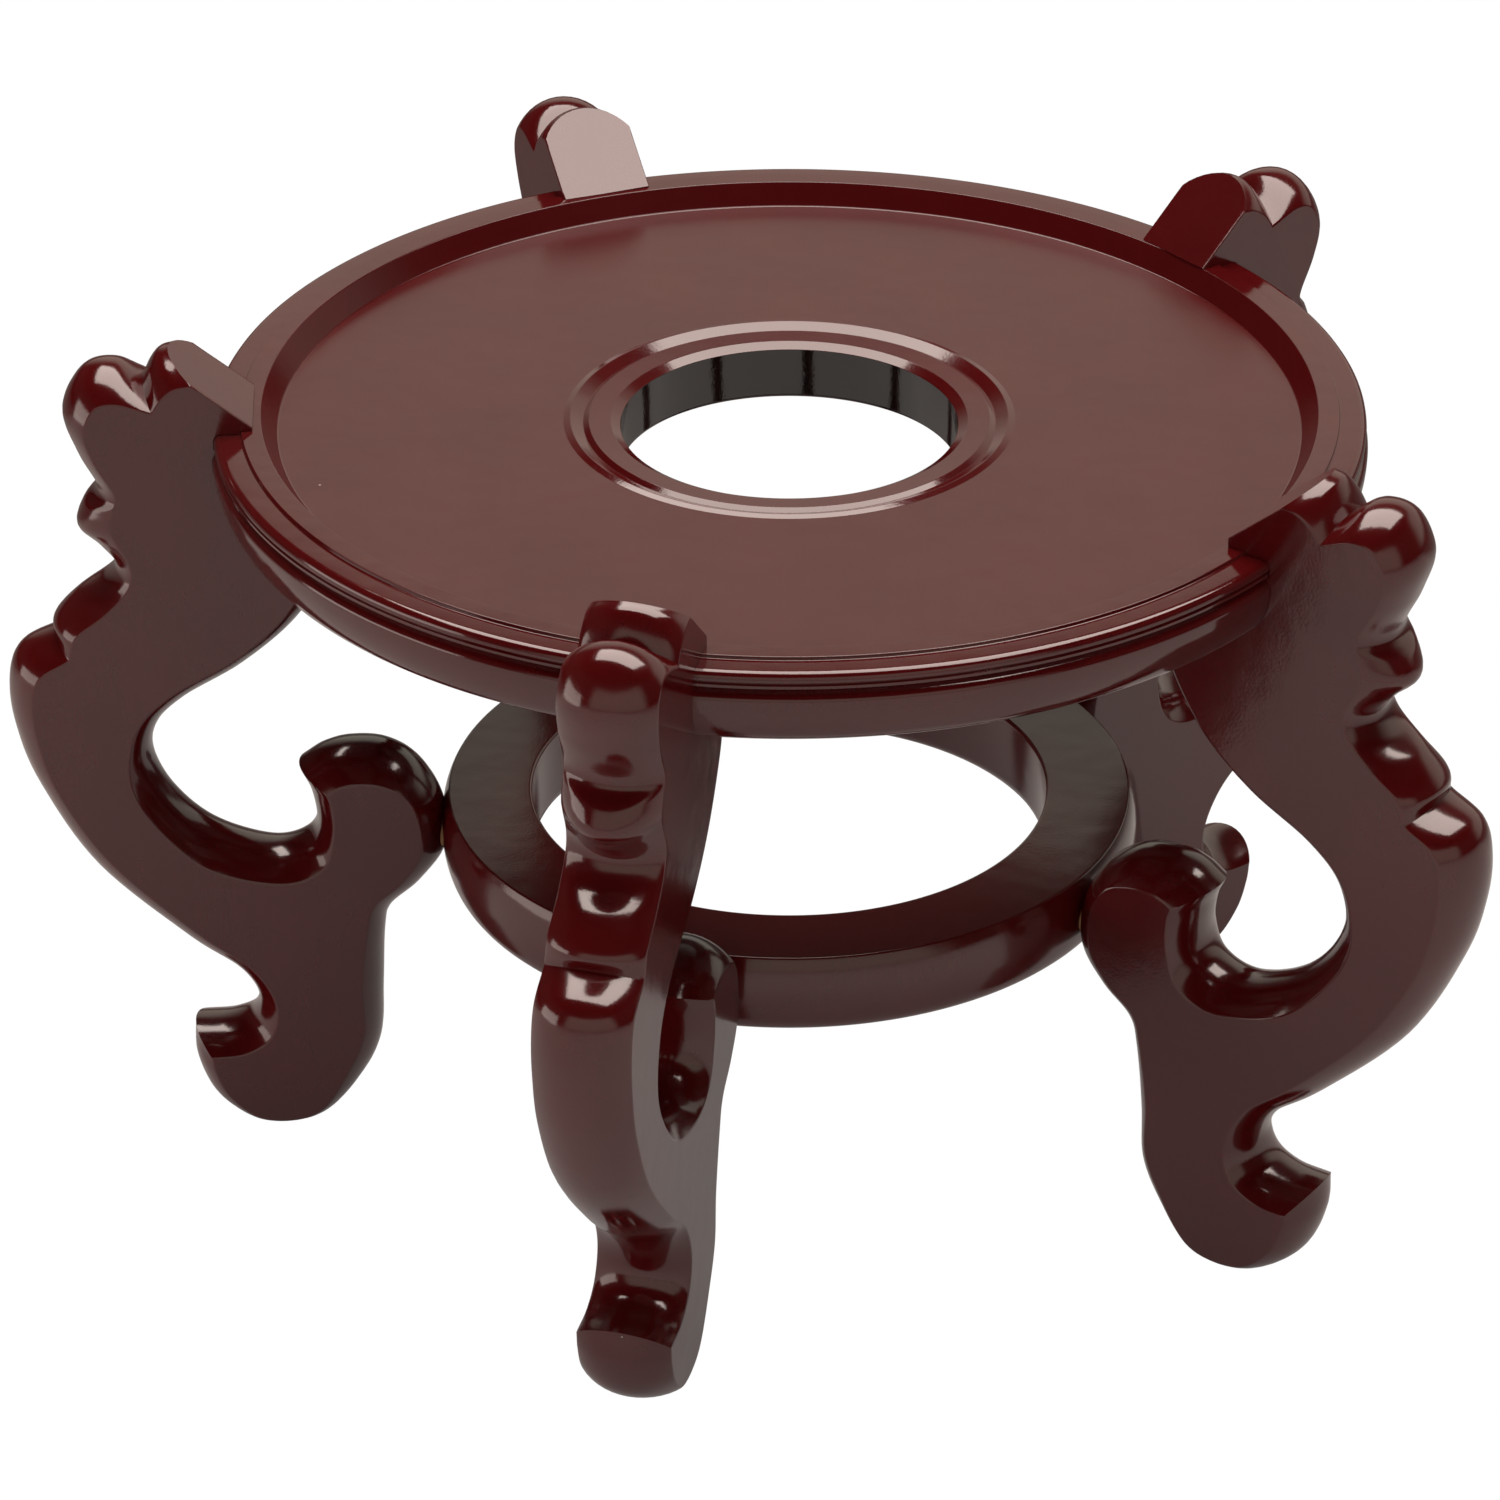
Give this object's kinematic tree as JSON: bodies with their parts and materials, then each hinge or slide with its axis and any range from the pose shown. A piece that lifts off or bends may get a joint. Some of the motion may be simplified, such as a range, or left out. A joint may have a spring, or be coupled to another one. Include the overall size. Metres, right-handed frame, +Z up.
{
  "type": "bowl stand",
  "caption": "Round lacquered hardwood bowl stand: a turned seat disc with a raised rim and a centre hole, held by carved scroll legs that a lower ring ties together.",
  "frame": {"origin": "on the floor under the centre of the seat, in the plane of the feet", "axes": "+Z up along the seat's axis, leg 1 towards -Y, the others every fifth of a turn, counted the way +X turns to +Y"},
  "size_m": [0.3464, 0.3308, 0.2045],
  "materials": {
    "lacquered_wood": "gloss",
    "dowel_wood": "matte"
  },
  "bodies": {
    "root": {"seat_disc": "lacquered_wood", "lower_ring": "lacquered_wood", "leg_1": "lacquered_wood", "leg_2": "lacquered_wood", "leg_3": "lacquered_wood", "leg_4": "lacquered_wood", "leg_5": "lacquered_wood", "rim_dowel_1": "dowel_wood", "rim_dowel_2": "dowel_wood", "rim_dowel_3": "dowel_wood", "rim_dowel_4": "dowel_wood", "rim_dowel_5": "dowel_wood", "ring_dowel_1": "dowel_wood", "ring_dowel_2": "dowel_wood", "ring_dowel_3": "dowel_wood", "ring_dowel_4": "dowel_wood", "ring_dowel_5": "dowel_wood"}
  },
  "joints": []
}
